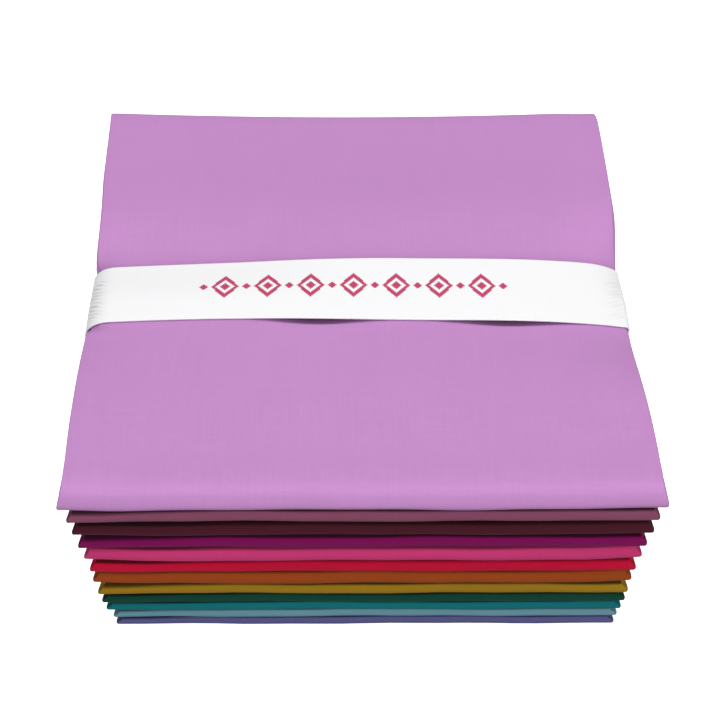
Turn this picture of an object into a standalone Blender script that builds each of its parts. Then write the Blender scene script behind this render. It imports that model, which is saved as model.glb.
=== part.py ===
# Fat quarter bundle: twelve fat quarters of plain cotton, folded and stacked, held by a woven tape.
#
# A fat quarter is 18 by 22 inches. Each one is folded in thirds across its width, then in half twice
# along its length, so it lies 6 by 5.5 inches and four levels deep, each level three plies of cloth.
# The second halving wraps the others, which gives the one smooth nose that each quarter shows in front.
# The tape goes round the middle of the stack, from side to side, and draws its sides in a little.
#
# X runs to the right, Y to the back and Z up. The origin is under the middle of the stack.

import math

import bmesh
import bpy
import numpy as np

INCH = 0.0254
MM = 0.001

# One quarter as it is cut and folded, and the gaps in its folds
CUT_WIDTH = 18 * INCH
CUT_LENGTH = 22 * INCH
FOLDED_WIDTH = CUT_WIDTH / 3
FOLDED_DEPTH = CUT_LENGTH / 4
LEVELS = 4
LEVEL_GAP = 0.4 * MM
QUARTER_GAP = 0.4 * MM
RAW_EDGE_INSET = 1.2 * MM
LEVEL_SETBACK = 0.45 * MM
BACK_SPREAD = 0.9 * MM

# The stack from the bottom up. Width is added to FOLDED_WIDTH, for the bulge of the side folds, inset
# moves the nose back from the front of the stack, shift moves the quarter to the right, askew turns
# its front to the right and its back to the left, and wave is the phase of its uneven top.
QUARTER_COLUMNS = (
    "name", "colour", "thickness_mm", "added_width_mm", "inset_mm", "shift_mm", "askew_mm", "wave",
)
QUARTER_ROWS = [
    ("periwinkle", "666AA2", 6.0, 1.2, 0.3, 1.2, 1.2, 0.1),
    ("pale_blue", "75A9BA", 5.9, 1.3, 0.3, 1.0, 1.4, 1.3),
    ("teal", "198C91", 5.9, 2.2, 0.2, 1.0, 0.9, 2.6),
    ("green", "134F35", 5.9, 2.4, 0.3, 0.7, 1.1, 4.2),
    ("mustard", "BC901C", 8.0, 2.4, 0.0, 1.0, 0.7, 5.0),
    ("rust", "B3501C", 7.7, 2.1, 0.4, 0.5, 1.0, 0.7),
    ("red", "E20F3D", 7.8, 1.5, 0.2, 0.8, 0.8, 3.4),
    ("pink", "EA4287", 7.5, 1.4, 0.4, 0.5, 1.2, 1.9),
    ("purple", "8E0F61", 7.8, 1.5, 0.2, 0.7, 0.9, 5.6),
    ("maroon", "541729", 7.6, 1.7, 0.3, 0.4, 1.3, 2.2),
    ("plum", "9E5975", 7.5, 1.3, 0.3, 0.6, 1.1, 4.6),
    ("lilac", "CB92D0", 7.0, 3.2, 0.2, 0.2, 1.3, 3.0),
]
QUARTERS = [dict(zip(QUARTER_COLUMNS, row)) for row in QUARTER_ROWS]
WAVE_HEIGHT = 0.2 * MM
WAVE_LENGTH = 128 * MM

# The woven tape
TAPE_COLOUR = "F6F8F6"
TAPE_WIDTH = 22 * MM
TAPE_THICKNESS = 1.0 * MM
TAPE_PLACE_Y = -2 * MM
TAPE_CORNER_RADIUS = 2.0 * MM
TAPE_GAP = 0.35 * MM

# What the tape does to the stack: its sides come in to this half width, about a line a little to the
# left, its top goes down by the middle drop, and by a side drop more at SIDE_DROP_AT from the middle.
HELD_HALF_WIDTH = 75.8 * MM
HELD_SHIFT = -0.7 * MM
MIDDLE_DROP = 2.1 * MM
LEFT_DROP = 3.8 * MM
RIGHT_DROP = 2.8 * MM
SIDE_DROP_AT = 70 * MM
SIDE_DROP_POWER = 4
PINCH_REACH_FRONT = 15 * MM
PINCH_REACH_BACK = 13 * MM
DROP_SHARE_POWER = 1.5
CORNER_INSETS = (0.6 * MM, 0.2 * MM)

# The bottom quarter is pressed up over the tape, and flat on the ground again past RECESS_SLOPE.
RECESS_DEPTH = TAPE_THICKNESS + 0.5 * MM
RECESS_MARGIN = 1.5 * MM
RECESS_SLOPE = 7 * MM
RECESS_SHARE_POWER = 8

# The back edge of the stack dips, more in its middle than at its corners.
BACK_CORNER_DIP = 0.9 * MM
BACK_DIP = 1.9 * MM
BACK_DIP_REACH = 45 * MM

# How finely each quarter is divided
SIDE_STATIONS = (0, 0.5, 0.85, 1)
TOP_SIDE_STATIONS = (0, 0.3, 0.58, 0.78, 0.92, 1)
FINELY_DIVIDED = ("plum", "lilac")
FLAT_STATIONS = (-38 * MM, -26 * MM, -15 * MM, 11 * MM, 20 * MM, 31 * MM, 50 * MM)
OUTER_NOSE_STEPS = 7
INNER_NOSE_STEPS = 3
BACK_FOLD_STEPS = 3

STACK_HEIGHT = sum(quarter["thickness_mm"] for quarter in QUARTERS) * MM


def linear_colour(code):
    """An RGBA colour in linear light from six hexadecimal sRGB digits."""
    channels = [int(code[i : i + 2], 16) / 255 for i in (0, 2, 4)]
    linear = [c / 12.92 if c <= 0.04045 else ((c + 0.055) / 1.055) ** 2.4 for c in channels]
    return (*linear, 1.0)


def cloth_material(name, code, roughness=0.9):
    material = bpy.data.materials.new(name)
    material.use_nodes = True
    shader = material.node_tree.nodes["Principled BSDF"]
    shader.inputs["Base Color"].default_value = linear_colour(code)
    shader.inputs["Roughness"].default_value = roughness
    shader.inputs["Metallic"].default_value = 0.0
    return material


def smooth_step(x):
    x = np.clip(x, 0, 1)
    return x * x * (3 - 2 * x)


def tape_pinch(y):
    """1 under the tape, falling to 0 on either side of it."""
    past_edge = np.maximum(np.abs(y - TAPE_PLACE_Y) - TAPE_WIDTH / 2, 0)
    reach = np.where(y < TAPE_PLACE_Y, PINCH_REACH_FRONT, PINCH_REACH_BACK)
    return np.exp(-((past_edge / reach) ** 2))


def top_drop(x, y):
    """How far the tape has drawn the top of the stack down."""
    side = np.where(x < 0, LEFT_DROP, RIGHT_DROP) * (np.abs(x) / SIDE_DROP_AT) ** SIDE_DROP_POWER
    return tape_pinch(y) * (MIDDLE_DROP + side)


def back_dip(x, y):
    """How far the stack goes down towards its back edge."""
    towards_back = smooth_step(1 - (FOLDED_DEPTH / 2 - y) / BACK_DIP_REACH)
    middle = 1 - np.clip(np.abs(x) / (FOLDED_WIDTH / 2), 0, 1) ** 2
    return towards_back * (BACK_CORNER_DIP + BACK_DIP * middle)


def tape_recess(y):
    """How far the underside of the stack is pressed up over the tape."""
    past_edge = np.abs(y - TAPE_PLACE_Y) - TAPE_WIDTH / 2 - RECESS_MARGIN
    return RECESS_DEPTH * smooth_step(1 - past_edge / RECESS_SLOPE)


def face_height(number, x, y):
    """Height of the face between two quarters: 0 is the ground and 12 the top of the stack."""
    height = sum(quarter["thickness_mm"] for quarter in QUARTERS[:number]) * MM
    share = height / STACK_HEIGHT
    sunk = (top_drop(x, y) + back_dip(x, y)) * share**DROP_SHARE_POWER
    raised = tape_recess(y) * (1 - share) ** RECESS_SHARE_POWER
    wave = 0.0
    if 0 < number < len(QUARTERS):
        turns = x / WAVE_LENGTH + 0.3 * y / WAVE_LENGTH
        wave = WAVE_HEIGHT * np.sin(2 * math.pi * turns + QUARTERS[number]["wave"])
        wave = wave * (1 - tape_pinch(y))
    return height - sunk + raised + wave


def arc(centre_y, centre_h, radius, start, end, steps):
    """Points of an arc in a quarter's section, without its first point. Angles are in degrees."""
    angles = np.radians(np.linspace(start, end, steps + 1))[1:]
    return [(centre_y + radius * math.cos(a), centre_h + radius * math.sin(a)) for a in angles]


def fold_section(thickness, sheet, front, back):
    """The line down the middle of the folded cloth: rows of (y, height in the quarter, level).

    It runs from the raw end at the back of the lowest level to the front, round the outer nose to
    the top level, to the back, round the back fold to the level below, to the front, round the inner
    nose, and to the raw end at the back of the second level.
    """
    pitch = (thickness - sheet) / (LEVELS - 1)
    levels = [sheet / 2 + pitch * i for i in range(LEVELS)]
    nose_y = front + sheet / 2 + 1.5 * pitch
    fold_y = back - sheet / 2 - 0.5 * pitch
    raw_y = back - RAW_EDGE_INSET

    forwards = [y for y in reversed(FLAT_STATIONS)]
    backwards = list(FLAT_STATIONS)
    middle = (levels[1] + levels[2]) / 2
    fold_middle = (levels[2] + levels[3]) / 2

    points = [(raw_y, levels[0])]
    points += [(y, levels[0]) for y in forwards]
    points += [(nose_y, levels[0])]
    points += arc(nose_y, middle, 1.5 * pitch, 270, 90, OUTER_NOSE_STEPS)
    points += [(y, levels[3]) for y in backwards]
    points += [(fold_y, levels[3])]
    points += arc(fold_y, fold_middle, 0.5 * pitch, 90, -90, BACK_FOLD_STEPS)
    points += [(y, levels[2]) for y in forwards]
    points += [(nose_y, levels[2])]
    points += arc(nose_y, middle, 0.5 * pitch, 90, 270, INNER_NOSE_STEPS)
    points += [(y, levels[1]) for y in backwards]
    points += [(raw_y - RAW_EDGE_INSET, levels[1])]
    y, h = np.array(points).T
    return y, h, (h - levels[0]) / pitch


def mirrored(stations):
    return [-s for s in reversed(stations[1:])] + list(stations)


def half_width(quarter, number, y, level):
    """Half the width of a quarter at a depth y, on a level from 0 at its bottom to 3 at its top."""
    free = (FOLDED_WIDTH + quarter["added_width_mm"] * MM) / 2 - LEVEL_SETBACK * level
    free = free + BACK_SPREAD * (y / FOLDED_DEPTH + 0.5)
    held = HELD_HALF_WIDTH + 0 * level
    outermost, next_in = CORNER_INSETS
    if number == len(QUARTERS) - 1:
        held = held - np.interp(level, (1, 2, 3), (0, next_in, outermost))
    if number == 0:
        held = held - np.interp(level, (0, 1, 2), (outermost, next_in, 0))
    pinch = tape_pinch(y)
    return free * (1 - pinch) + held * pinch


def add_folded_quarter(number, collection):
    """One folded quarter: a grid bent to the section of its folds, and thickened to a level's plies."""
    quarter = QUARTERS[number]
    thickness = quarter["thickness_mm"] * MM - QUARTER_GAP
    sheet = (thickness - (LEVELS - 1) * LEVEL_GAP) / LEVELS
    front = -FOLDED_DEPTH / 2 + quarter["inset_mm"] * MM
    back = FOLDED_DEPTH / 2 - quarter["inset_mm"] * MM * 0.5
    section_y, section_h, section_level = fold_section(thickness, sheet, front, back)
    across = mirrored(TOP_SIDE_STATIONS if quarter["name"] in FINELY_DIVIDED else SIDE_STATIONS)

    bm = bmesh.new()
    columns, rows = len(across), len(section_y)
    bmesh.ops.create_grid(bm, x_segments=columns - 1, y_segments=rows - 1, size=1)
    mesh = bpy.data.meshes.new(quarter["name"])
    bm.to_mesh(mesh)
    bm.free()

    grid = np.empty(len(mesh.vertices) * 3)
    mesh.vertices.foreach_get("co", grid)
    grid = grid.reshape(-1, 3)
    i = np.rint((grid[:, 0] + 1) / 2 * (columns - 1)).astype(int)
    j = np.rint((grid[:, 1] + 1) / 2 * (rows - 1)).astype(int)

    y, h, level = section_y[j], section_h[j], section_level[j]
    pinch = tape_pinch(y)
    askew = -quarter["askew_mm"] * MM * y / (FOLDED_DEPTH / 2)
    centre = (quarter["shift_mm"] * MM + askew) * (1 - pinch) + HELD_SHIFT * pinch
    x = centre + np.array(across)[i] * half_width(quarter, number, y, level)
    low = face_height(number, x, y) + QUARTER_GAP / 2
    high = face_height(number + 1, x, y) - QUARTER_GAP / 2
    if number == 0:
        low = low - QUARTER_GAP / 2
    share = (h - sheet / 2) / (thickness - sheet)
    z = low + sheet / 2 + share * (high - low - sheet)
    placed = np.stack([x, y, z], axis=1)
    mesh.vertices.foreach_set("co", placed.ravel())
    mesh.update()

    piece = bpy.data.objects.new("quarter_" + quarter["name"], mesh)
    collection.objects.link(piece)
    solidify = piece.modifiers.new("plies", "SOLIDIFY")
    solidify.thickness = sheet
    solidify.offset = 0
    solidify.use_even_offset = True
    # The same faces are split the same way on every level, so that no two levels meet.
    triangulate = piece.modifiers.new("split_faces", "TRIANGULATE")
    triangulate.quad_method = "SHORTEST_DIAGONAL"
    mesh.materials.append(cloth_material("cotton_" + quarter["name"], quarter["colour"]))
    mesh.shade_smooth()
    return piece


def tape_side(side, bottom_z):
    """Half of the tape's middle line, from the middle of its underside up one side to its top."""
    side_x = HELD_HALF_WIDTH + TAPE_GAP + TAPE_THICKNESS / 2
    corner_x = side_x - TAPE_CORNER_RADIUS
    lift = QUARTER_GAP / 2 + TAPE_THICKNESS / 2

    def top(x):
        return float(face_height(len(QUARTERS), HELD_SHIFT + side * x, TAPE_PLACE_Y)) + lift

    # The top corner ends where it runs on into the slope of the top.
    angle = math.radians(70)
    for _ in range(5):
        x = corner_x + TAPE_CORNER_RADIUS * math.cos(angle)
        slope = (top(x + 1 * MM) - top(x)) / MM
        angle = math.atan2(1, -slope)
    corner_z = top(x) - TAPE_CORNER_RADIUS * math.sin(angle)

    points = [(corner_x * 0.5, bottom_z)]
    for a in np.radians(np.linspace(-90, 0, 6)):
        z = bottom_z + TAPE_CORNER_RADIUS * (1 + math.sin(a))
        points.append((corner_x + TAPE_CORNER_RADIUS * math.cos(a), z))
    for a in np.linspace(0, angle, 6):
        z = corner_z + TAPE_CORNER_RADIUS * math.sin(a)
        points.append((corner_x + TAPE_CORNER_RADIUS * math.cos(a), z))
    for share in (0.88, 0.78, 0.64, 0.48, 0.28):
        points.append((x * share, top(x * share)))
    return [(HELD_SHIFT + side * px, pz) for px, pz in points]


def tape_loop():
    """The line down the middle of the tape's thickness, round the stack: rows of (x, z)."""
    bottom_z = TAPE_THICKNESS / 2
    top_z = float(face_height(len(QUARTERS), HELD_SHIFT, TAPE_PLACE_Y)) + QUARTER_GAP / 2 + bottom_z
    right = tape_side(1, bottom_z)
    left = tape_side(-1, bottom_z)
    return [(HELD_SHIFT, bottom_z)] + right + [(HELD_SHIFT, top_z)] + left[::-1]


def add_tape(collection):
    """The tape: a closed loop of its middle line, drawn out to its width and thickened."""
    loop = tape_loop()
    bm = bmesh.new()
    front = TAPE_PLACE_Y - TAPE_WIDTH / 2
    ring = [bm.verts.new((x, front, z)) for x, z in loop]
    edges = [bm.edges.new((a, b)) for a, b in zip(ring, ring[1:] + ring[:1])]
    for _ in range(2):
        made = bmesh.ops.extrude_edge_only(bm, edges=edges)["geom"]
        moved = {v for v in made if isinstance(v, bmesh.types.BMVert)}
        edges = [e for e in made if isinstance(e, bmesh.types.BMEdge) and moved.issuperset(e.verts)]
        bmesh.ops.translate(bm, verts=list(moved), vec=(0, TAPE_WIDTH / 2, 0))
    bmesh.ops.recalc_face_normals(bm, faces=bm.faces)
    mesh = bpy.data.meshes.new("tape")
    bm.to_mesh(mesh)
    bm.free()
    tape = bpy.data.objects.new("tape", mesh)
    collection.objects.link(tape)
    solidify = tape.modifiers.new("weave", "SOLIDIFY")
    solidify.thickness = TAPE_THICKNESS
    solidify.offset = 0
    solidify.use_even_offset = True
    mesh.materials.append(cloth_material("woven_tape", TAPE_COLOUR, 0.75))
    mesh.shade_smooth()
    return tape


def main():
    for old in list(bpy.data.objects):
        bpy.data.objects.remove(old)
    bundle = bpy.data.collections.new("fat_quarter_bundle")
    bpy.context.scene.collection.children.link(bundle)
    for number in range(len(QUARTERS)):
        add_folded_quarter(number, bundle)
    add_tape(bundle)


main()
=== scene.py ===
# Fat quarter bundle: folded cotton quarters in a stack, held round the middle by a woven tape
import math

import bpy
import numpy as np
from mathutils import Matrix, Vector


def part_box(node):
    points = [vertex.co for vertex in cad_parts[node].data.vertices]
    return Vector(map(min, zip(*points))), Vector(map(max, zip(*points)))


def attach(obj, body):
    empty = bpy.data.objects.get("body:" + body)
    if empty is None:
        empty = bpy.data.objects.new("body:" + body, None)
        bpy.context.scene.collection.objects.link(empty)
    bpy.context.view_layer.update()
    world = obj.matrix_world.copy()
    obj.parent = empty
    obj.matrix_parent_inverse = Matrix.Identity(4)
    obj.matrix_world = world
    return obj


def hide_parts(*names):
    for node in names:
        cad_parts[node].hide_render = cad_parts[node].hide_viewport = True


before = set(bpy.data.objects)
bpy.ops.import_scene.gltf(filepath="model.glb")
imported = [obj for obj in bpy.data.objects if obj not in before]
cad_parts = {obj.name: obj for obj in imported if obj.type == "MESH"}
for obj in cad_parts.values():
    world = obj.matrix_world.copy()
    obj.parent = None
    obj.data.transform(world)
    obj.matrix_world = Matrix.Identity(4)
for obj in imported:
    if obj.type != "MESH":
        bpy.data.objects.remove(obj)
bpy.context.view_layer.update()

mm = 0.001
inch = 0.0254
print("frame loaded:", len(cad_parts), "nodes")


# Camera, light and floor

cameraSettings = {
    "place": (0.0008, -0.200, 0.3353),
    "tiltDegrees": 34.6,  # from straight down
    "rollDegrees": -0.15,
    "lens": 56.1,
    "sensor": 36.0,
}
lightSettings = {
    "overhead": {"place": (0.05, -0.15, 1.2), "size": (1.0, 1.0), "watts": 8.3},
    "front": {"place": (0.20, -1.30, 0.66), "size": (1.5, 0.8), "watts": 9.0},
    "skyStrength": 0.47,
    "groundStrength": 0.02,
    "horizonBlend": 0.1,  # half the height over which the ground turns to sky
    "floorColour": (0.92, 0.92, 0.92),
    "floorGlow": 0.75,
    "floorHalfSize": 3.0,
    "floorHeight": -0.0002,
}


def makeCamera(settings):
    data = bpy.data.cameras.new("camera")
    data.lens = settings["lens"]
    data.sensor_width = settings["sensor"]
    data.clip_start = 0.01
    camera = bpy.data.objects.new("camera", data)
    bpy.context.scene.collection.objects.link(camera)
    tilt = Matrix.Rotation(math.radians(settings["tiltDegrees"]), 4, "X")
    roll = Matrix.Rotation(math.radians(settings["rollDegrees"]), 4, "Z")
    camera.matrix_world = Matrix.Translation(settings["place"]) @ tilt @ roll
    bpy.context.scene.camera = camera


def makeSoftbox(name, place, size, watts):
    data = bpy.data.lights.new(name, "AREA")
    data.shape = "RECTANGLE"
    data.size, data.size_y = size
    data.energy = watts
    light = bpy.data.objects.new(name, data)
    light.location = place
    light.rotation_euler = (-light.location).to_track_quat("-Z", "Y").to_euler()
    bpy.context.scene.collection.objects.link(light)


def makeWorld(settings):
    # an even sky, with a darker ground below the horizon
    world = bpy.data.worlds.new("studio")
    world.use_nodes = True
    nodes, links = world.node_tree.nodes, world.node_tree.links
    nodes["Background"].inputs["Color"].default_value = (1, 1, 1, 1)
    direction = nodes.new("ShaderNodeTexCoord")
    split = nodes.new("ShaderNodeSeparateXYZ")
    strength = nodes.new("ShaderNodeMapRange")
    strength.inputs["From Min"].default_value = -settings["horizonBlend"]
    strength.inputs["From Max"].default_value = settings["horizonBlend"]
    strength.inputs["To Min"].default_value = settings["groundStrength"]
    strength.inputs["To Max"].default_value = settings["skyStrength"]
    links.new(direction.outputs["Generated"], split.inputs[0])
    links.new(split.outputs["Z"], strength.inputs["Value"])
    links.new(strength.outputs[0], nodes["Background"].inputs["Strength"])
    bpy.context.scene.world = world


def makeFloor(settings):
    half, z = settings["floorHalfSize"], settings["floorHeight"]
    mesh = bpy.data.meshes.new("floor")
    corners = [(-half, -half, z), (half, -half, z), (half, half, z), (-half, half, z)]
    mesh.from_pydata(corners, [], [(0, 1, 2, 3)])
    floor = bpy.data.objects.new("floor", mesh)
    bpy.context.scene.collection.objects.link(floor)
    material = bpy.data.materials.new("floorPaper")
    material.use_nodes = True
    shader = material.node_tree.nodes["Principled BSDF"]
    shader.inputs["Base Color"].default_value = (*settings["floorColour"], 1)
    shader.inputs["Roughness"].default_value = 1.0
    shader.inputs["Emission Color"].default_value = (1, 1, 1, 1)
    shader.inputs["Emission Strength"].default_value = settings["floorGlow"]
    mesh.materials.append(material)
    floor.visible_diffuse = False  # the floor lights nothing from below


makeCamera(cameraSettings)
for lightName in ("overhead", "front"):
    makeSoftbox(lightName, **lightSettings[lightName])
makeWorld(lightSettings)
makeFloor(lightSettings)
bpy.context.scene.view_settings.view_transform = "Standard"
print("camera, light and floor made")


# The stack, which every folded quarter and the tape follow

stack = {
    "cutWidth": 18 * inch,
    "cutLength": 22 * inch,
    "quarterGap": 0.4 * mm,
    "levelSetback": 0.45 * mm,
    "backSpread": 1.45 * mm,
    "waveHeight": 0.2 * mm,
    "waveLength": 128 * mm,
    "rippleHeight": 0.16 * mm,  # a shorter wave, only near the noses
    "rippleLength": 47 * mm,
    "rippleReach": 26 * mm,
    "leftDroop": 0.6 * mm,  # of the noses at their left ends
    "rightRise": 0.7 * mm,  # of the top quarter's nose at its right end
    "endSpan": (50 * mm, 26 * mm),  # where both start, and their reach
    # the sides are also drawn in beside the tape, and the right one at its back corner: depth, middle
    # and reach along the stack
    "sideNarrowing": {
        -1: [(1.3 * mm, -1 * mm, 22 * mm), (-0.7 * mm, 11 * mm, 8 * mm), (0.6 * mm, 30 * mm, 12 * mm)],
        1: [(1.1 * mm, -22 * mm, 20 * mm), (0.7 * mm, 14 * mm, 13 * mm), (1.0 * mm, 71 * mm, 2.4 * mm)],
    },
    "backCornerDip": 0.9 * mm,
    "backDip": 1.9 * mm,
    "backDipReach": 45 * mm,
    "cornerDroop": (0.7 * mm, 60 * mm, 55 * mm),  # of the back right corner: depth, from this x and y
    "cornerDroopReach": (16 * mm, 14 * mm),
    "tapeY": -2 * mm,
    "tapeWidth": 22 * mm,
    "heldHalfWidth": {-1: 76.55 * mm, 1: 76.9 * mm},
    "heldShift": -0.35 * mm,
    "leftSpread": 0.3 * mm,  # the left side stands out by this more at the tape's back edge
    "leftDrop": 0.1 * mm,  # of the top face under the tape, in its left half and in its right half
    "rightDrop": 1.05 * mm,
    "dropStep": 50 * mm,  # from the one to the other
    "sideDrop": {-1: (1.8 * mm, 3), 1: (2.8 * mm, 4)},  # more towards the sides, with its power
    "sideDropAt": 70 * mm,
    "backTilt": 1.2 * mm,  # the tape's back edge lies lower towards the left
    "backTiltSpan": (10 * mm, 50 * mm),  # from this x to the left, and over this length
    "tiltSpan": (-6 * mm, 16 * mm),  # from this y to the back, and over this length
    "rightCornerTilt": (2.6 * mm, 64 * mm, 13 * mm),  # and at the right bend: depth, start and reach
    "pinchReachFront": 15 * mm,
    "pinchReachBack": 13 * mm,
    "dropSharePower": 1.5,
    "cornerInsets": {-1: (0.15 * mm, 0.8 * mm, 1.8 * mm), 1: (0.0, 0.1 * mm, 0.3 * mm)},
    "recessDepth": 1.5 * mm,
    "recessMargin": 1.5 * mm,
    "recessSlope": 7 * mm,
    "recessSharePower": 8,
    # the cloth's width springs back sooner past the tape than its height
    "widthReach": {-1: 2.0 * mm, 1: 0.9 * mm},
    "squeezeRadius": {-1: 7.2 * mm, 1: 0.8 * mm},  # of the cloth's top corners under the tape
    "squeezeReach": {-1: 1.8 * mm, 1: 6 * mm},  # in front of the tape and behind it
    "squeezeSharePower": 7,
    "backRise": (1.1 * mm, 40 * mm, 30 * mm),  # of the top face: height, from this y, and reach
    "hollowDepth": 1.6 * mm,  # the top cloth is hollow under the tape's front edge in two places
    "hollowLip": 2.0 * mm,
    "hollowBack": (10 * mm, 6 * mm),  # where they end under the tape, and how long they take to rise
    "hollows": ((-11 * mm, 22 * mm), (42 * mm, 25 * mm)),  # middle and half length
}
stack["foldedWidth"] = stack["cutWidth"] / 3
stack["foldedDepth"] = stack["cutLength"] / 4

# From the bottom up: thickness, width added by the side folds, shift to the right, how far the front
# is askew to the right and the back to the left and how far the nose bulges in the middle, all in mm,
# then the wave's phase and the colour
quarterColumns = ("name", "thickness", "addedWidth", "shift", "askew", "bulge", "wave", "colour")
quarterRows = [
    ("periwinkle", 6.0, 1.2, 1.2, 1.2, 0.0, 0.1, (0.100, 0.100, 0.252)),
    ("pale_blue", 5.9, 1.3, 1.0, 1.4, 0.0, 1.3, (0.137, 0.298, 0.370)),
    ("teal", 5.9, 2.2, 1.0, 0.9, 0.1, 2.6, (0.004, 0.159, 0.179)),
    ("green", 5.9, 2.4, 0.7, 1.1, 0.1, 4.2, (0.003, 0.051, 0.031)),
    ("mustard", 8.0, 2.4, 1.0, 0.7, 0.0, 5.0, (0.337, 0.188, 0.009)),
    ("rust", 7.7, 2.1, 0.5, 1.0, 0.7, 0.7, (0.324, 0.060, 0.009)),
    ("red", 7.8, 1.5, 0.8, 0.8, 0.3, 3.4, (0.549, 0.004, 0.037)),
    ("pink", 7.5, 1.4, 0.5, 1.2, 0.7, 1.9, (0.584, 0.041, 0.174)),
    ("purple", 7.8, 1.5, 0.7, 0.9, 0.0, 5.6, (0.201, 0.003, 0.090)),
    ("maroon", 7.6, 1.7, 0.4, 1.3, 0.2, 2.2, (0.062, 0.008, 0.018)),
    ("plum", 7.5, 1.3, 0.6, 1.1, 0.0, 4.6, (0.253, 0.072, 0.136)),
    ("lilac", 7.0, 3.2, 0.33, 1.18, 0.2, 3.0, (0.520, 0.250, 0.540)),
]
quarters = [dict(zip(quarterColumns, row)) for row in quarterRows]
for number, quarter in enumerate(quarters):
    quarter["number"] = number
    quarter["node"] = "quarter_" + quarter["name"]
    quarter["bottom"] = sum(q["thickness"] for q in quarters[:number]) * mm
    low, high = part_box(quarter["node"])
    quarter["front"], quarter["back"] = low.y, high.y
stack["height"] = sum(q["thickness"] for q in quarters) * mm


def smoothStep(x):
    x = np.clip(x, 0, 1)
    return x * x * (3 - 2 * x)


def tapePinch(y):
    # 1 under the tape, and past its edges exp(-(distance / reach)^2)
    pastEdge = np.maximum(np.abs(y - stack["tapeY"]) - stack["tapeWidth"] / 2, 0)
    reach = np.where(y < stack["tapeY"], stack["pinchReachFront"], stack["pinchReachBack"])
    return np.exp(-((pastEdge / reach) ** 2))


def tapeShare(y):
    # 0 at the tape's front edge, 1 at its back edge
    return np.clip((y - stack["tapeY"]) / stack["tapeWidth"] + 0.5, 0, 1)


def cornerSqueeze(x, y):
    # the tape rounds the stack's top corners: radius - sqrt(radius^2 - (distance past its start)^2)
    drop = 0.0
    for sign, radius in stack["squeezeRadius"].items():
        fromStart = sign * (x - stack["heldShift"]) - (stack["heldHalfWidth"][sign] - radius)
        fromStart = np.clip(fromStart, 0, 0.8 * radius)
        drop = drop + radius - np.sqrt(radius**2 - fromStart**2)
    pastEdge = np.maximum(np.abs(y - stack["tapeY"]) - stack["tapeWidth"] / 2, 0)
    reach = np.where(y < stack["tapeY"], stack["squeezeReach"][-1], stack["squeezeReach"][1])
    return drop * np.exp(-((pastEdge / reach) ** 2))


def frontHollow(x, y):
    # depth * (square of a cosine along the edge) * (smooth step down from a lip just in front of the
    # tape's edge) * (smooth step back up under the tape)
    along = sum(
        np.cos(math.pi / 2 * np.clip((x - middle) / half, -1, 1)) ** 2 for middle, half in stack["hollows"]
    )
    fromEdge = y - (stack["tapeY"] - stack["tapeWidth"] / 2)
    lip = stack["hollowLip"] * along
    down = smoothStep((fromEdge + lip) / (0.9 * lip + 0.05 * mm))
    end, rise = stack["hollowBack"]
    return stack["hollowDepth"] * along * down * smoothStep((end - fromEdge) / rise)


def tapeDrop(x):
    # left drop, with a smooth step to the right drop, plus side drop * (x / where it is reached)^power
    step = smoothStep((x + stack["dropStep"] / 2) / stack["dropStep"])
    drop = stack["leftDrop"] + (stack["rightDrop"] - stack["leftDrop"]) * step
    for side, (depth, power) in stack["sideDrop"].items():
        drop = drop + depth * (np.maximum(side * x, 0) / stack["sideDropAt"]) ** power
    return drop


def tapeTilt(x, y):
    # smooth step to the back * (tilt * smooth step to the left + corner tilt * (its reach passed)^3)
    fromX, overX = stack["backTiltSpan"]
    fromY, overY = stack["tiltSpan"]
    towardsLeft = smoothStep((fromX - x) / overX)
    depth, start, reach = stack["rightCornerTilt"]
    atRight = depth * np.clip((x - start) / reach, 0, 1) ** 3
    return (stack["backTilt"] * towardsLeft + atRight) * smoothStep((y - fromY) / overY)


def topDrop(x, y):
    return tapePinch(y) * (tapeDrop(x) + tapeTilt(x, y))


def backDip(x, y):
    # smooth step towards the back edge, times (corner dip + middle dip * (1 - (x / half width)^2))
    halfFolded = stack["foldedWidth"] / 2
    towardsBack = smoothStep(1 - (stack["foldedDepth"] / 2 - y) / stack["backDipReach"])
    middle = 1 - np.clip(np.abs(x) / halfFolded, 0, 1) ** 2
    return towardsBack * (stack["backCornerDip"] + stack["backDip"] * middle)


def tapeRecess(y):
    pastEdge = np.abs(y - stack["tapeY"]) - stack["tapeWidth"] / 2 - stack["recessMargin"]
    return stack["recessDepth"] * smoothStep(1 - pastEdge / stack["recessSlope"])


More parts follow.
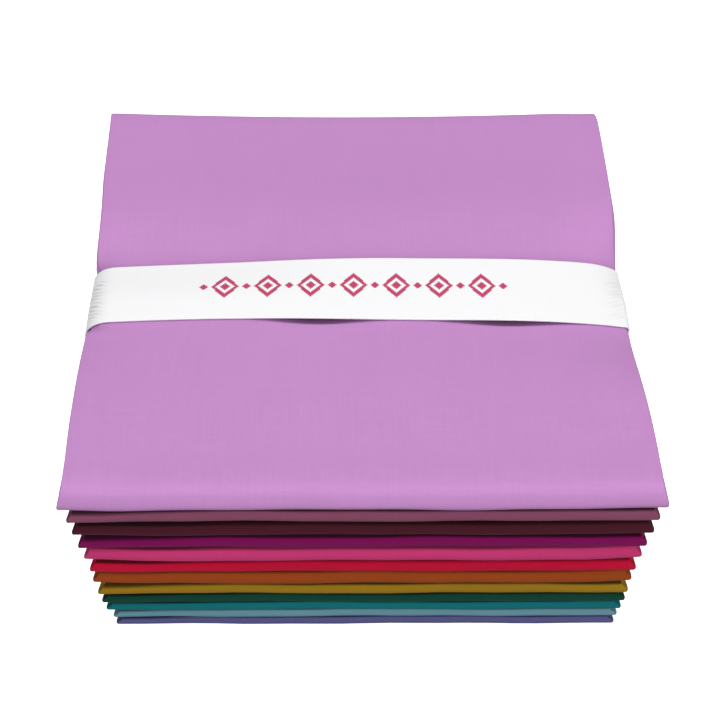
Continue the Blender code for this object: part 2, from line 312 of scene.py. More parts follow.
def faceHeight(number, x, y):
    # height of the face under a quarter: its height in the flat stack, less its share of the drop
    # and the dip, plus its share of the recess, plus two sine waves that die out under the tape
    height = sum(q["thickness"] for q in quarters[:number]) * mm
    share = height / stack["height"]
    sunk = (topDrop(x, y) + backDip(x, y)) * share ** stack["dropSharePower"]
    raised = tapeRecess(y) * (1 - share) ** stack["recessSharePower"]
    endStart, endReach = stack["endSpan"]
    wave = 0.0
    nearNose = smoothStep(1 - (y + stack["foldedDepth"] / 2) / stack["rippleReach"])
    if 0 < number < len(quarters):
        phase = quarters[number]["wave"]
        turns = (x + 0.3 * y) / stack["waveLength"]
        wave = stack["waveHeight"] * np.sin(2 * math.pi * turns + phase)
        ripple = np.sin(2 * math.pi * x / stack["rippleLength"] + 2.3 * phase)
        wave = (wave + stack["rippleHeight"] * nearNose * ripple) * (1 - tapePinch(y))
        wave = wave - stack["leftDroop"] * nearNose * smoothStep((-x - endStart) / endReach)
    if number >= len(quarters) - 1:
        wave = wave + stack["rightRise"] * nearNose * smoothStep((x - endStart) / endReach)
    relief = -cornerSqueeze(x, y) * share ** stack["squeezeSharePower"]
    if number == len(quarters):
        droop, fromX, fromY = stack["cornerDroop"]
        reachX, reachY = stack["cornerDroopReach"]
        droop = droop * smoothStep((x - fromX) / reachX) * smoothStep((y - fromY) / reachY)
        rise, riseStart, riseReach = stack["backRise"]
        rise = rise * smoothStep((y - riseStart) / riseReach)
        relief = relief - frontHollow(x, y) + rise - droop
    return height - sunk + raised + wave + relief


# Meshes made from arrays of points

def gridObject(name, points, uv, closeRows=False):
    # a grid of points (rows, columns, xyz), with a quad between each four; closeRows joins the last
    # row to the first
    rows, columns = points.shape[:2]
    index = np.arange(rows * columns).reshape(rows, columns)
    lower = index if closeRows else index[:-1]
    upper = np.roll(index, -1, axis=0) if closeRows else index[1:]
    quads = np.stack([lower[:, :-1], lower[:, 1:], upper[:, 1:], upper[:, :-1]], axis=-1)
    quads = quads.reshape(-1, 4)
    mesh = bpy.data.meshes.new(name)
    mesh.vertices.add(rows * columns)
    mesh.vertices.foreach_set("co", points.reshape(-1).astype(np.float32))
    mesh.loops.add(quads.size)
    mesh.loops.foreach_set("vertex_index", quads.reshape(-1).astype(np.int32))
    mesh.polygons.add(len(quads))
    mesh.polygons.foreach_set("loop_start", np.arange(0, quads.size, 4, dtype=np.int32))
    mesh.polygons.foreach_set("use_smooth", np.ones(len(quads), dtype=bool))
    mesh.update(calc_edges=True)
    layer = mesh.uv_layers.new(name="cloth")
    cornerUv = uv.reshape(-1, 2)[quads.reshape(-1)]
    if closeRows:
        # the last row of quads runs on past the seam instead of back to 0
        seam = cornerUv.reshape(-1, columns - 1, 4, 2)[-1]
        seam[:, 2:, 1] = uv[-1, 0, 1] + (uv[-1, 0, 1] - uv[-2, 0, 1])
    layer.data.foreach_set("uv", cornerUv.reshape(-1).astype(np.float32))
    made = bpy.data.objects.new(name, mesh)
    bpy.context.scene.collection.objects.link(made)
    return made


def joinedPath(pieces):
    # rows of the pieces one after the other, each without its first row, which ends the one before
    return np.concatenate([pieces[0]] + [piece[1:] for piece in pieces[1:]])


def line(start, end, count):
    return np.linspace(start, end, count + 1)


# Folded cloth

clothSettings = {
    "thickness": 0.42 * mm,
    "levelSpare": 0.15 * mm,  # left between two levels, on top of the gaps between plies
    "flapInset": 1.6 * mm,
    "rawInset": 1.2 * mm,
    "edgeWander": 0.18 * mm,
    "edgeWanderLengths": (83 * mm, 31 * mm),
    "edgeBand": (0.86, 0.14),  # where it starts, and its reach, as shares of the half width
    "noseOut": {-1: 0.85 * mm, 1: 0.42 * mm},  # how far the nose's corners stand out past the sides
    "noseWander": 0.22 * mm,
    "noseWanderLengths": (71 * mm, 29 * mm),
    "noseForward": 0.35 * mm,
    "frontReach": 16 * mm,  # how far back the nose's forms reach
    "tipReach": 7 * mm,  # and its squeeze
    "noseSquareness": {"lilac": 3.8, "other": 2.2},  # 2 is a half circle
    # the nose's top leans back and its bottom forwards, about this share of its height
    "noseLean": {"lilac": 4.2 * mm, "other": 2.6 * mm},
    "leanPivot": {"lilac": 0.11, "other": 0.2},
    # its corners also lean outwards, towards its bottom
    "noseFlare": {"lilac": 0.7 * mm, "top": 2.1 * mm, "bottom": 3.5 * mm},
    "flareOut": {"lilac": 0.0, "other": 0.24},  # the share of it that goes outwards
    # how far back the corners stand out, and how far back the upper part is drawn in
    "flareReach": {"lilac": (14 * mm, 14 * mm), "other": (8 * mm, 40 * mm)},
    "noseSqueeze": 0.075,  # share of its height that it lacks, which leaves a crevice
    "cornerSqueeze": 0.06,  # and some more at its left end
    "leftEnd": (0.45, 0.5),  # where that end starts, and its reach, as shares of the half width
    "bulgeEnds": 0.2,  # the bulge dies out over this share of the half width
    "backOut": 0.5 * mm,
    # painted shade in the cloth's colour, which darkens the crevices between the noses, the noses'
    # undersides and the hollows under the tape
    "paintedShadeAbove": (0.66, 0.07),  # share of the height where the crevice under the next nose starts
    "paintedShadeLeft": 0.05,  # it starts lower by this at the left end
    "paintedShadeBulge": 0.12,  # and higher by this for each mm that the nose bulges
    "paintedShadeTape": 0.6,  # in the hollows under the tape
    "paintedShadeBelow": (0.8, 0.15),  # how dark its own underside is, and its reach
    "rows": {"lilac": (56, 60), "other": (32, 32)},  # of a hidden level and of the top one
    "fineRows": {"lilac": 36, "other": 0},  # more at the tape's front edge
    "fineSpan": (-21 * mm, -9 * mm),  # from this y to this one
    "columns": {"lilac": (34, 48), "other": (20, 20)},  # of a flap and of the middle third
    "outerNoseRows": 18,
    "foldRows": 8,
    "sideFoldColumns": 6,
}


def letterFold(width, plyPitch, thickness, flapCount, thirdCount):
    # the cut's width folded in thirds: columns of (x, offset from the middle ply). The middle third
    # is outermost, the first flap is folded inside it at the left, and the second flap lies inside
    # all, from the right fold. Each fold is a half circle.
    left, right = -width / 2 + thickness / 2, width / 2 - thickness / 2
    inset = clothSettings["flapInset"]
    small, large = plyPitch / 2, plyPitch
    turns = clothSettings["sideFoldColumns"]

    def flat(start, end, offset, count):
        return np.stack([line(start, end, count), np.full(count + 1, offset)], axis=1)

    def turn(middleX, middleOffset, radius, start, end):
        a = np.radians(line(start, end, turns))
        return np.stack([middleX + radius * np.cos(a), middleOffset + radius * np.sin(a)], axis=1)

    return joinedPath([
        flat(right - large - inset, left + small, 0.0, flapCount),
        turn(left + small, small, small, 270, 90),
        flat(left + small, right - large, plyPitch, thirdCount),
        turn(right - large, 0.0, large, 90, -90),
        flat(right - large, left + inset, -plyPitch, flapCount),
    ])


def quarterFold(height, front, back, reach, squareness, hiddenCount, topCount, fineCount):
    # the cut's length folded in four: rows of (y, height), at the middle of each level's three
    # plies. The outer nose joins the lowest level to the top one, the back fold joins that to the
    # third, and the inner nose joins that to the second. The folds are half circles, but the outer
    # nose is squarer: its cosine and sine are raised to 2 / squareness.
    level = height / 4
    outer, inner = 1.5 * level, 0.5 * level
    noseY = front + outer + reach
    foldY = back - inner - reach
    rawY = back - clothSettings["rawInset"]
    fineStart, fineEnd = clothSettings["fineSpan"]

    def flat(start, end, h, count):
        return np.stack([line(start, end, count), np.full(count + 1, h)], axis=1)

    def turn(middleY, middleH, radius, start, end, count, square=2):
        a = np.radians(line(start, end, count))
        c, s = np.cos(a), np.sin(a)
        c = np.sign(c) * np.abs(c) ** (2 / square)
        s = np.sign(s) * np.abs(s) ** (2 / square)
        return np.stack([middleY + radius * c, middleH + radius * s], axis=1)

    noseRows, foldRows = clothSettings["outerNoseRows"], clothSettings["foldRows"]
    return joinedPath([
        flat(rawY, noseY, 0.5 * level, hiddenCount),
        turn(noseY, 2 * level, outer, 270, 90, noseRows, squareness),
        *([
            flat(noseY, fineStart, 3.5 * level, topCount // 2),
            flat(fineStart, fineEnd, 3.5 * level, fineCount),
            flat(fineEnd, foldY, 3.5 * level, topCount // 2),
        ] if fineCount else [flat(noseY, foldY, 3.5 * level, topCount)]),
        turn(foldY, 3 * level, inner, 90, -90, foldRows),
        flat(foldY, noseY, 2.5 * level, hiddenCount),
        turn(noseY, 2 * level, inner, 90, 270, foldRows),
        flat(noseY, rawY - 2 * clothSettings["rawInset"], 1.5 * level, hiddenCount),
    ])


def pathNormals(path):
    # the path's direction at each point, turned a quarter to the left
    ahead = np.concatenate([path[1:], path[-1:]])
    behind = np.concatenate([path[:1], path[:-1]])
    tangent = ahead - behind
    tangent = tangent / np.linalg.norm(tangent, axis=1, keepdims=True)
    return np.stack([-tangent[:, 1], tangent[:, 0]], axis=1)


def arcLength(path):
    steps = np.linalg.norm(np.diff(path[:, :2], axis=0), axis=1)
    return np.concatenate([[0], np.cumsum(steps)])


def quarterKind(quarter):
    # the top quarter has values of its own
    return "lilac" if quarter["name"] == "lilac" else "other"


def widthPinch(y, side):
    # 1 under the tape, and past its edges exp(-(distance / reach)^2)
    pastEdge = np.maximum(np.abs(y - stack["tapeY"]) - stack["tapeWidth"] / 2, 0)
    return np.exp(-((pastEdge / stack["widthReach"][side]) ** 2))


def halfWidth(quarter, y, level, noseHeight, side):
    # half the folded width, less the setback of the upper levels, drawn in under the tape; on the
    # nose the corners also lean outwards, from the top of the nose to its bottom
    free = (stack["foldedWidth"] + quarter["addedWidth"] * mm) / 2 - stack["levelSetback"] * level
    free = free + stack["backSpread"] * (y / stack["foldedDepth"] + 0.5)
    for depth, middle, reach in stack["sideNarrowing"][side]:
        free = free - depth * np.exp(-(((y - middle) / reach) ** 2))
    lowness = 1 - quarter["number"] / (len(quarters) - 1)
    flares = clothSettings["noseFlare"]
    kind = quarterKind(quarter)
    flare = flares["top"] * (1 - lowness) + flares["bottom"] * lowness
    if kind == "lilac":
        flare = flares["lilac"]
    outReach, inReach = clothSettings["flareReach"][kind]
    out = clothSettings["noseOut"][side] + clothSettings["flareOut"][kind] * flare
    fromFront = y - quarter["front"]
    free = free + out * smoothStep(1 - fromFront / outReach)
    free = free - flare * noseHeight * smoothStep(1 - fromFront / inReach)
    held = stack["heldHalfWidth"][side] + 0 * level
    if side == -1:
        held = held + stack["leftSpread"] * tapeShare(y)
    insets = stack["cornerInsets"][side]
    if quarter["number"] == len(quarters) - 1:
        held = held - np.interp(level, (0, 1, 2, 3), (0, *insets))
    if quarter["number"] == 0:
        held = held - np.interp(level, (0, 1, 2), stack["cornerInsets"][1][::-1])
    pinch = widthPinch(y, side)
    return free * (1 - pinch) + held * pinch


def twoWaves(x, longWave, shortWave, phase):
    # a long sine wave and 0.6 of a short one
    long = np.sin(2 * math.pi * x / longWave + phase)
    return long + 0.6 * np.sin(2 * math.pi * x / shortWave + 1.8 * phase)


def foldedQuarter(quarter):
    # one sheet: each point is a row of the quarter fold moved along its normal by the offset of a
    # column of the letter fold, then warped to the space between the two faces of the stack
    kind = quarterKind(quarter)
    number, name, phase = quarter["number"], quarter["name"], quarter["wave"]
    height = quarter["thickness"] * mm - stack["quarterGap"]
    thickness = clothSettings["thickness"]
    plyPitch = (height / 4 - clothSettings["levelSpare"]) / 3
    width = stack["foldedWidth"] + quarter["addedWidth"] * mm
    columns = letterFold(width, plyPitch, thickness, *clothSettings["columns"][kind])
    front = quarter["front"] - clothSettings["noseForward"]
    back = quarter["back"] + clothSettings["backOut"]
    counts = (*clothSettings["rows"][kind], clothSettings["fineRows"][kind])
    squareness = clothSettings["noseSquareness"][kind]
    rows = quarterFold(height, front, back, plyPitch + thickness / 2, squareness, *counts)
    normals = pathNormals(rows)
    u, v = arcLength(columns), arcLength(rows)
    foldX, offset = columns[None, :, 0], columns[None, :, 1]
    y = rows[:, None, 0] + normals[:, None, 0] * offset
    h = rows[:, None, 1] + normals[:, None, 1] * offset
    lowest = height / 8 - plyPitch - thickness / 2
    share = (h - lowest) / (height - 2 * lowest)
    station = foldX / (width / 2)
    level = np.clip(rows[:, None, 1] / height * 4 - 0.5, 0, 3) + 0 * offset

    # the nose wanders a little to the front and back, and the side folds to the left and right
    atFront = smoothStep(1 - (y - quarter["front"]) / clothSettings["frontReach"])
    noseWander = 0.5 + 0.5 * twoWaves(foldX, *clothSettings["noseWanderLengths"], phase)
    y = y + clothSettings["noseWander"] * noseWander * atFront
    atTip = smoothStep(1 - (y - front) / clothSettings["tipReach"])
    endStart, endReach = clothSettings["leftEnd"]
    atLeft = smoothStep((-station - endStart) / endReach)
    squeeze = clothSettings["noseSqueeze"] + clothSettings["cornerSqueeze"] * atLeft
    share = 0.5 + (share - 0.5) * (1 - squeeze * atTip)
    sideWander = twoWaves(v[:, None], *clothSettings["edgeWanderLengths"], 2.9 * phase)
    y = y + clothSettings["noseLean"][kind] * (share - clothSettings["leanPivot"][kind]) * atFront
    y = y - quarter["bulge"] * mm * smoothStep((1 - np.abs(station)) / clothSettings["bulgeEnds"]) * atFront
    pinch = np.where(station < 0, widthPinch(y, -1), widthPinch(y, 1))
    bandStart, bandReach = clothSettings["edgeBand"]
    atSide = smoothStep((np.abs(station) - bandStart) / bandReach) * (1 - pinch)
    askew = -quarter["askew"] * mm * y / (stack["foldedDepth"] / 2)
    centre = (quarter["shift"] * mm + askew) * (1 - pinch) + stack["heldShift"] * pinch
    halfWidths = np.where(
        station < 0, halfWidth(quarter, y, level, share, -1), halfWidth(quarter, y, level, share, 1)
    )
    x = centre + station * halfWidths
    x = x - np.sign(station) * clothSettings["edgeWander"] * (0.5 + 0.5 * sideWander) * atSide
    low = faceHeight(number, x, y) + (stack["quarterGap"] / 2 if number else 0)
    high = faceHeight(number + 1, x, y) - stack["quarterGap"] / 2
    z = low + share * (high - low)
    points = np.stack(np.broadcast_arrays(x, y, z), axis=-1)
    uv = np.stack(np.broadcast_arrays(u[None, :], v[:, None]), axis=-1)
    cloth = gridObject("cloth_" + name, points, uv)

    # painted shade in the cloth's colour: darker the further a point lies in the crevices under the next
    # nose, and a little on its own underside; on the top quarter the hollows under the tape's front edge
    # take the place of the crevices
    startShare, rise = clothSettings["paintedShadeAbove"]
    startShare = startShare + clothSettings["paintedShadeBulge"] * quarter["bulge"]
    above = smoothStep((share + clothSettings["paintedShadeLeft"] * atLeft - startShare) / rise) * atFront
    shade, reach = clothSettings["paintedShadeBelow"]
    below = shade * np.exp(-share / reach) * atFront
    if number == len(quarters) - 1:
        above = clothSettings["paintedShadeTape"] * frontHollow(x, y) / stack["hollowDepth"] * (share > 0.8)
    paintedShade = np.clip(above + below, 0, 1) + 0 * x
    cloth.data.attributes.new("painted_crevice_shade", "FLOAT", "POINT").data.foreach_set(
        "value", paintedShade.reshape(-1).astype(np.float32)
    )
    solidify = cloth.modifiers.new("thickness", "SOLIDIFY")
    solidify.thickness = thickness
    solidify.offset = 0
    return cloth


# Materials

class NodeMaker:
    # short calls for a material's nodes

    def __init__(self, name):
        self.material = bpy.data.materials.new(name)
        self.material.use_nodes = True
        self.tree = self.material.node_tree
        self.shader = self.tree.nodes["Principled BSDF"]

    def node(self, kind, inputs=None, **settings):
        made = self.tree.nodes.new(kind)
        for key, value in settings.items():
            setattr(made, key, value)
        for key, value in (inputs or {}).items():
            if isinstance(value, bpy.types.NodeSocket):
                self.tree.links.new(value, made.inputs[key])
            else:
                made.inputs[key].default_value = value
        return made

    def maths(self, operation, a, b=0.0, c=0.0):
        made = self.node("ShaderNodeMath", {0: a, 1: b, 2: c}, operation=operation)
        return made.outputs[0]

    def uv(self):
        made = self.node("ShaderNodeUVMap", uv_map="cloth")
        split = self.node("ShaderNodeSeparateXYZ", {0: made.outputs["UV"]})
        return split.outputs["X"], split.outputs["Y"]

    def noise(self, x, y, detail=2.0):
        # noise over two coordinates, about 0.5 in the middle
        vector = self.node("ShaderNodeCombineXYZ", {"X": x, "Y": y})
        made = self.node(
            "ShaderNodeTexNoise",
            {"Vector": vector.outputs[0], "Scale": 1.0, "Detail": detail},
            noise_dimensions="2D",
        )
        return made.outputs["Fac"]

    def mixColour(self, factor, first, second):
        made = self.tree.nodes.new("ShaderNodeMix")
        made.data_type = "RGBA"
        for key, value in ((0, factor), (6, first), (7, second)):
            if isinstance(value, bpy.types.NodeSocket):
                self.tree.links.new(value, made.inputs[key])
            else:
                made.inputs[key].default_value = value
        return made.outputs[2]

    def link(self, output, socket):
        self.tree.links.new(output, self.shader.inputs[socket])


cottonSettings = {
    "threadPitch": 0.36 * mm,
    "slubLength": 22 * mm,
    "mottleSize": 14 * mm,
    "weaveSoftness": 0.15,
    "toneShares": (0.4, 0.2),  # of the warp and of the weft, and of the patches
    "threadContrast": 0.08,
    "bumpDepth": 0.07 * mm,
    "bumpStrength": 0.6,
    "roughness": 0.88,
    "specular": 0.08,
    # how far the painted shade darkens the cloth's colour towards black
    "paintedCreviceShade": 0.86,
    "sheen": 0.02,
    "sheenRoughness": 0.4,
}


def cottonMaterial(name, colour, settings):
    # plain weave: where sin(u) * sin(v) is positive the warp thread is on top, elsewhere the weft,
    # and each thread's height is the sine's own size; threads and patches differ a little in colour
    make = NodeMaker(name)
    u, v = make.uv()
    turn = math.pi / settings["threadPitch"]
    sineU = make.maths("SINE", make.maths("MULTIPLY", u, turn))
    sineV = make.maths("SINE", make.maths("MULTIPLY", v, turn))
    crossing = make.maths("MULTIPLY", sineU, sineV)
    soft = settings["weaveSoftness"]
    warpOnTop = make.node(
        "ShaderNodeMapRange", {"Value": crossing, "From Min": -soft, "From Max": soft}
    ).outputs[0]
    warp = make.maths("MULTIPLY", make.maths("ABSOLUTE", sineU), warpOnTop)
    weftOnTop = make.maths("SUBTRACT", 1.0, warpOnTop)
    weft = make.maths("MULTIPLY", make.maths("ABSOLUTE", sineV), weftOnTop)
    height = make.maths("ADD", warp, weft)

    perThread = 1 / settings["threadPitch"]
    perSlub = 1 / settings["slubLength"]
    warpTone = make.noise(make.maths("MULTIPLY", u, perThread), make.maths("MULTIPLY", v, perSlub))
    weftTone = make.noise(make.maths("MULTIPLY", u, perSlub), make.maths("MULTIPLY", v, perThread))
    mottle = make.noise(
        make.maths("DIVIDE", u, settings["mottleSize"]), make.maths("DIVIDE", v, settings["mottleSize"])
    )
    threadShare, mottleShare = settings["toneShares"]
    tone = make.maths("MULTIPLY", make.maths("ADD", warpTone, weftTone), threadShare)
    tone = make.maths("ADD", tone, make.maths("MULTIPLY", mottle, mottleShare))
    contrast = settings["threadContrast"]
    dark = tuple(c * (1 - contrast) for c in colour) + (1,)
    light = tuple(min(c * (1 + contrast), 1) for c in colour) + (1,)
    toned = make.mixColour(tone, dark, light)
    # painted shade: the colour is darkened towards black where the cloth lies in the crevices, under its
    # noses and under the tape
    painted_crevice_shade = make.node("ShaderNodeAttribute", attribute_name="painted_crevice_shade").outputs["Fac"]
    shade = make.maths("MULTIPLY", painted_crevice_shade, settings["paintedCreviceShade"])
    make.link(make.mixColour(shade, toned, (0.0, 0.0, 0.0, 1)), "Base Color")
    bump = make.node(
        "ShaderNodeBump",
        {"Height": height, "Distance": settings["bumpDepth"], "Strength": settings["bumpStrength"]},
    )
    make.link(bump.outputs["Normal"], "Normal")
    make.shader.inputs["Roughness"].default_value = settings["roughness"]
    make.shader.inputs["Specular IOR Level"].default_value = settings["specular"]
    make.shader.inputs["Sheen Weight"].default_value = settings["sheen"]
    make.shader.inputs["Sheen Roughness"].default_value = settings["sheenRoughness"]
    return make.material


def dressQuarters():
    under = None
    for quarter in quarters:
        cloth = foldedQuarter(quarter)
        material = cottonMaterial("cotton_" + quarter["name"], quarter["colour"], cottonSettings)
        cloth.data.materials.append(material)
        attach(cloth, "root")
        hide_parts(quarter["node"])
        under = cloth.name
    print("folded quarters made:", len(quarters))
    return under


topCloth = dressQuarters()


# The woven tape

tapeSettings = {
    "thickness": 0.5 * mm,
    "sideHalfWidth": {-1: 77.0 * mm, 1: 77.25 * mm},  # to the middle of the tape's thickness
    "cornerRadius": {-1: 8.2 * mm, 1: 1.4 * mm},
    "footRadius": 2 * mm,  # of the loop's bottom corners
    "rows": {"under": 30, "foot": 10, "wall": 40, "shoulder": 16, "over": 64},  # of each half of the loop
    "lift": 0.15 * mm,  # of the tape's underside over the face of the cloth
    "leftNarrowing": (0.1 * mm, 1.5 * mm),  # the front and back edges draw in towards the left bend
    "narrowingSpan": (15 * mm, 75 * mm),  # from this x to the left, and over this length
    "upperPart": (0.35, 0.5),  # from this share of the stack's height, and over this share
    "bendStart": 60 * mm,  # the side bends lie past this x
    "spreadReach": 12 * mm,
    "puckerPitch": 1.43 * mm,
    "puckerHeight": 0.26 * mm,
    # how dark the painted shade in the puckers' hollows is
    "puckerPaintedShade": 0.38,
    "puckerReach": 2.8 * mm,
    "puckerUp": 2.2 * mm,  # they lie this far above the middle of the bend
    "puckerSlant": 0.5,  # and run towards the back edge on their way down
    "rightPuckers": 0.4,
    "puckerMargin": (2 * mm, 3 * mm),  # left free at the tape's edges, and how long they take to start
    "puckerShift": 0.8 * mm,  # towards the front edge
    # uneven in depth, swaying across the tape and bowed down the bend: each a size and a wave's length
    "puckerUneven": (0.25, 4.1 * mm),
    "puckerSway": (0.9, 7.3 * mm),
    "puckerBow": (0.6, 9 * mm),
    "columns": 112,
    "ribPitch": 0.62 * mm,
    "threadPitch": 0.31 * mm,
    "threadLength": 9 * mm,
    "threadShade": 0.1,
    "ribBump": (0.03 * mm, 0.4),  # distance and strength
    "colour": (0.86, 0.86, 0.87),
    "shadeColour": (0.60, 0.62, 0.64),
    "roughness": 0.6,
    "sheen": 0.15,
    "motifColour": (0.44, 0.008, 0.085),
    "stitchColour": (0.62, 0.07, 0.19),
    "stitchShade": 0.3,
    "stitchSlant": 0.5,
    "stitch": 0.42 * mm,
    "motifCount": 7,
    # in stitches: the row's middle, across the tape from its front edge and along it, the pitch, half a
    # lozenge along and across, and half a dot
    "motifMiddle": (28.5, -1.5),
    "motifPitch": 29,
    "motifHalf": (9.8, 10.5),
    "dotHalf": 3.0,
    "ringInside": 0.62,  # shares of a lozenge where its ring starts and where its core ends
    "coreSize": 0.34,
}


def tapePath(settings):
    # the loop of the tape's middle: from the middle of the underside to the right, up the side, over
    # the top, which follows the stack, and down the left side, with quarter circles at the corners
    thickness, shift = settings["thickness"], stack["heldShift"]
    bottom, footRadius = thickness / 2, settings["footRadius"]
    rows = settings["rows"]

    def top(x):
        return stack["height"] - tapeDrop(shift + x) + settings["lift"] + thickness / 2

    def half(sign):
        side, radius = settings["sideHalfWidth"][sign], settings["cornerRadius"][sign]
        corner = side - radius
        angle = math.radians(70)  # a first guess, until the bend's end has the slope of the top
        for _ in range(5):
            x = corner + radius * math.cos(angle)
            slope = (top(sign * (x + mm)) - top(sign * x)) / mm
            angle = math.atan2(1, -slope)
        cornerZ = top(sign * x) - radius * math.sin(angle)
        underX = line(0, side - footRadius, rows["under"])
        under = np.stack([underX, np.full_like(underX, bottom)], axis=1)
        a = np.radians(line(-90, 0, rows["foot"]))
        foot = np.stack([side - footRadius * (1 - np.cos(a)), bottom + footRadius * (1 + np.sin(a))], axis=1)
        wallZ = line(bottom + footRadius, cornerZ, rows["wall"])
        wall = np.stack([np.full_like(wallZ, side), wallZ], axis=1)
        a = line(0, angle, rows["shoulder"])
        shoulder = np.stack([corner + radius * np.cos(a), cornerZ + radius * np.sin(a)], axis=1)
        across = line(x, 0, rows["over"])
        over = np.stack([across, top(sign * across)], axis=1)
        path = joinedPath([under, foot, wall, shoulder, over])
        path[:, 0] *= sign
        return path

    right, left = half(1), half(-1)
    path = np.concatenate([right, left[::-1][1:-1]])
    path[:, 0] += shift
    return path


def makeTape(settings):
    # each row is a point of the loop, each column a place across the width; near the side bends the
    # surface is moved along the loop's normal, as puckers, by height * cos(2 pi * turns), where turns
    # is (across - slant * distance down the bend) / pitch
    path = tapePath(settings)
    before, after = np.roll(path, 1, axis=0), np.roll(path, -1, axis=0)
    tangent = after - before
    tangent = tangent / np.linalg.norm(tangent, axis=1, keepdims=True)
    normal = np.stack([tangent[:, 1], -tangent[:, 0]], axis=1)
    width = stack["tapeWidth"]
    across = np.linspace(-width / 2, width / 2, settings["columns"] + 1)[None, :]
    steps = np.linalg.norm(np.diff(path, axis=0), axis=1)
    along = np.concatenate([[0], np.cumsum(steps)])[:, None]
    pathX, pathZ = path[:, :1], path[:, 1:]
    fromShare, overShare = settings["upperPart"]
    upper = smoothStep((pathZ / stack["height"] - fromShare) / overShare)

    # the edges draw in towards the left
    fromX, overX = settings["narrowingSpan"]
    towardsLeft = smoothStep((fromX - pathX) / overX) * upper
    frontIn, backIn = settings["leftNarrowing"]
    frontEdge, backEdge = -width / 2 + frontIn * towardsLeft, width / 2 - backIn * towardsLeft
    place = frontEdge + (across / width + 0.5) * (backEdge - frontEdge)

    margin, fade = settings["puckerMargin"]
    inner = smoothStep((width / 2 - margin - np.abs(across + settings["puckerShift"])) / fade)
    uneven, unevenLength = settings["puckerUneven"]
    inner = inner * (1 - uneven + uneven * np.sin(2 * math.pi * across / unevenLength + 1))
    swaySize, swayLength = settings["puckerSway"]
    sway = swaySize * np.sin(2 * math.pi * across / swayLength)
    bowSize, bowLength = settings["puckerBow"]
    away, painted_pucker_shade = 0.0, 0.0
    turning = np.linalg.norm(after - 2 * path + before, axis=1)[:, None] * (pathZ > stack["height"] / 2)
    for sign, strength in ((-1, 1.0), (1, settings["rightPuckers"])):
        weight = turning * (pathX * sign > settings["bendStart"])
        bendAt = (along * weight).sum() / weight.sum()
        down = (bendAt - along) * sign + settings["puckerUp"]
        depth = strength * inner * np.exp(-((down / settings["puckerReach"]) ** 2))
        bow = bowSize * np.sin(2 * math.pi * down / bowLength)
        turns = (across - settings["puckerSlant"] * down) / settings["puckerPitch"]
        ribs = np.cos(2 * math.pi * turns + sway + bow)
        away = away + settings["puckerHeight"] * depth * ribs
        # painted shade: how far into the puckers' hollows a point lies, kept to darken the tape's colour
        # there
        painted_pucker_shade = painted_pucker_shade + depth * (0.5 - 0.5 * ribs)

    y = stack["tapeY"] + place + 0 * pathX
    spread = smoothStep((-pathX - settings["bendStart"]) / settings["spreadReach"])
    spread = stack["leftSpread"] * tapeShare(y) * spread
    x = pathX + normal[:, :1] * away - spread
    z = pathZ + normal[:, 1:] * away - tapeTilt(x, y) * upper
    points = np.stack([x, y, z], axis=-1)
    topMiddle = along[len(path) // 2, 0]
    uv = np.stack(np.broadcast_arrays(across + width / 2, topMiddle - along), axis=-1)
    tape = gridObject("woven_tape_band", points, uv, closeRows=True)
    tape.data.attributes.new("painted_pucker_shade", "FLOAT", "POINT").data.foreach_set(
        "value", painted_pucker_shade.reshape(-1).astype(np.float32)
    )
    solidify = tape.modifiers.new("thickness", "SOLIDIFY")
    solidify.thickness = settings["thickness"]
    solidify.offset = 0
    flat = (width, float(along[-1, 0] + np.linalg.norm(path[0] - path[-1])))
    return tape, flat


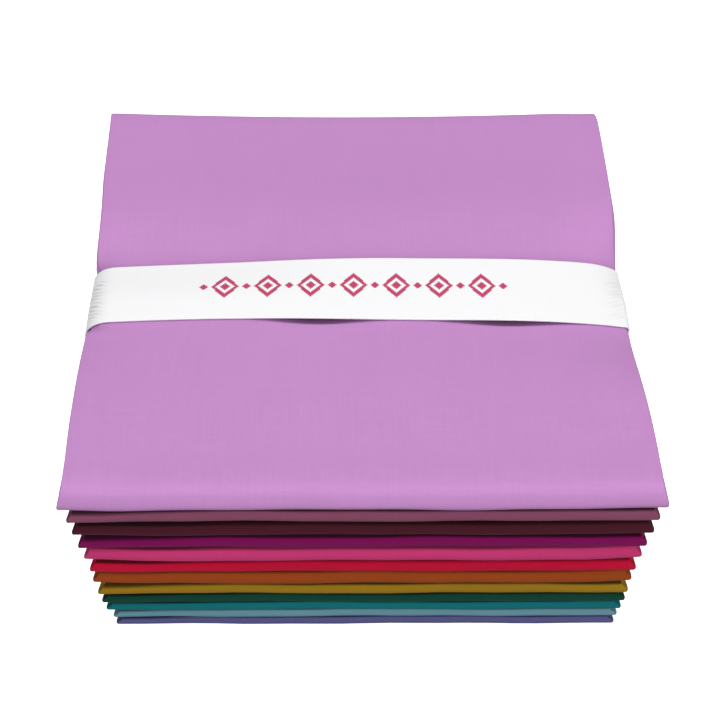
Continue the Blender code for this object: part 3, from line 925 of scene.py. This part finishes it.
def tapeMaterial(settings):
    make = NodeMaker("tapeWeave")
    across, along = make.uv()
    rib = make.maths("SINE", make.maths("MULTIPLY", along, 2 * math.pi / settings["ribPitch"]))
    cord = make.maths("SINE", make.maths("MULTIPLY", across, 2 * math.pi / settings["threadPitch"]))
    height = make.maths("ADD", make.maths("MULTIPLY", rib, 0.7), make.maths("MULTIPLY", cord, 0.3))
    distance, strength = settings["ribBump"]
    bump = make.node("ShaderNodeBump", {"Height": height, "Distance": distance, "Strength": strength})
    make.link(bump.outputs["Normal"], "Normal")
    thread = make.noise(
        make.maths("DIVIDE", across, settings["threadPitch"]),
        make.maths("DIVIDE", along, settings["threadLength"]),
    )
    shade = make.maths("MULTIPLY", thread, settings["threadShade"])
    white = make.mixColour(shade, (*settings["colour"], 1), (*settings["shadeColour"], 1))
    # painted shade: the tape's white is darkened towards black in the puckers' hollows
    painted_pucker_shade = make.node("ShaderNodeAttribute", attribute_name="painted_pucker_shade").outputs["Fac"]
    paintedPuckerMix = make.maths("MULTIPLY", painted_pucker_shade, settings["puckerPaintedShade"])
    white = make.mixColour(paintedPuckerMix, white, (0.0, 0.0, 0.0, 1))

    # a row of lozenges, each a ring round a core, with a dot between two: the distance of a lozenge is
    # |along| / half length + |across| / half width, counted in whole stitches
    stitch = settings["stitch"]
    middleAcross, middleAlong = settings["motifMiddle"]
    stitchAcross = make.maths("ADD", make.maths("FLOOR", make.maths("DIVIDE", across, stitch)), 0.5)
    stitchAlong = make.maths("ADD", make.maths("FLOOR", make.maths("DIVIDE", along, stitch)), 0.5)
    fromMiddle = make.maths("ABSOLUTE", make.maths("SUBTRACT", stitchAcross, middleAcross))
    pitch, count = settings["motifPitch"], settings["motifCount"]
    start = middleAlong - pitch * count / 2
    cell = make.maths("FLOORED_MODULO", make.maths("SUBTRACT", stitchAlong, start), pitch)
    fromCell = make.maths("ABSOLUTE", make.maths("SUBTRACT", cell, pitch / 2))
    halfAlong, halfAcross = settings["motifHalf"]
    away = make.maths(
        "ADD", make.maths("DIVIDE", fromCell, halfAlong), make.maths("DIVIDE", fromMiddle, halfAcross)
    )
    ring = make.maths("GREATER_THAN", away, settings["ringInside"])
    ring = make.maths("MULTIPLY", make.maths("LESS_THAN", away, 1.0), ring)
    core = make.maths("LESS_THAN", away, settings["coreSize"])
    fromDot = make.maths("SUBTRACT", pitch / 2, fromCell)
    dot = make.maths("LESS_THAN", make.maths("ADD", fromDot, fromMiddle), settings["dotHalf"])
    figure = make.maths("MAXIMUM", make.maths("MAXIMUM", ring, core), dot)
    fromRow = make.maths("ABSOLUTE", make.maths("SUBTRACT", stitchAlong, middleAlong))
    rowEnd = pitch * count / 2 + settings["dotHalf"]
    figure = make.maths("MULTIPLY", figure, make.maths("LESS_THAN", fromRow, rowEnd))
    slant = make.maths("ADD", along, make.maths("MULTIPLY", across, settings["stitchSlant"]))
    stitches = make.maths("SINE", make.maths("MULTIPLY", slant, math.pi / stitch))
    stitchTone = make.maths("MULTIPLY", make.maths("ADD", stitches, 1.0), settings["stitchShade"])
    magenta = make.mixColour(stitchTone, (*settings["motifColour"], 1), (*settings["stitchColour"], 1))
    make.link(make.mixColour(figure, white, magenta), "Base Color")
    make.shader.inputs["Roughness"].default_value = settings["roughness"]
    make.shader.inputs["Sheen Weight"].default_value = settings["sheen"]
    return make.material


tape, tapeFlat = makeTape(tapeSettings)
tape.data.materials.append(tapeMaterial(tapeSettings))
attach(tape, "root")
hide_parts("tape")
print("tape made, flat size", tapeFlat)
